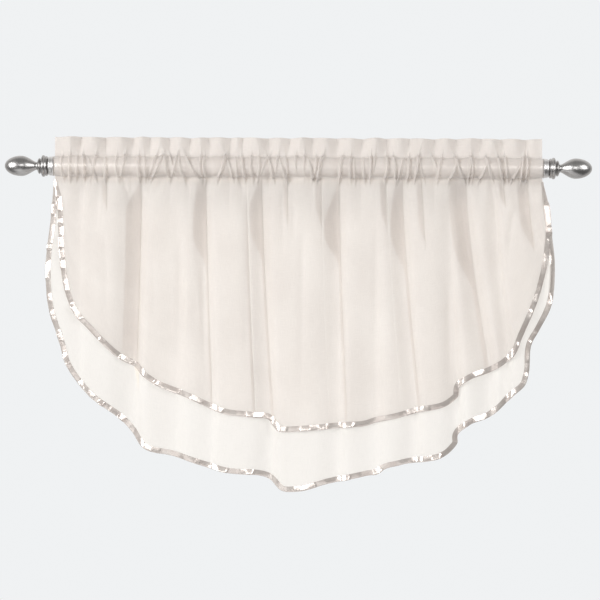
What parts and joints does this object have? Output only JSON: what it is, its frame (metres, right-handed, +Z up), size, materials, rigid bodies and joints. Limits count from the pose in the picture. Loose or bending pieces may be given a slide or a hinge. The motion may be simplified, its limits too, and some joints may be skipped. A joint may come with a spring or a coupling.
{
  "type": "ascot valance on curtain rod",
  "caption": "Two-layer curved sheer valance with satin-bound edges, gathered by its rod pocket under a ruffled header on a round metal rod with turned egg-shaped finials.",
  "frame": {"origin": "on the rod's axis, halfway along the rod", "axes": "+X along the rod to the right as seen from the room, -Y out into the room, +Z up"},
  "size_m": [1.0176, 0.0376, 0.6141],
  "materials": {
    "voile": "sheer ivory plain-weave voile, matt with a soft sheen",
    "rear_voile": "sheer ivory plain-weave voile, one layer",
    "satin": "champagne satin ribbon, glossy along its length",
    "rod_nickel": "brushed nickel tube",
    "nickel": "polished pewter-toned nickel"
  },
  "bodies": {
    "root": {"front_panel": "voile", "rear_panel": "rear_voile", "front_binding": "satin", "rear_binding": "satin", "rod": "rod_nickel", "end_cap_left": "nickel", "end_cap_right": "nickel", "finial_left": "nickel", "finial_right": "nickel"}
  },
  "joints": []
}
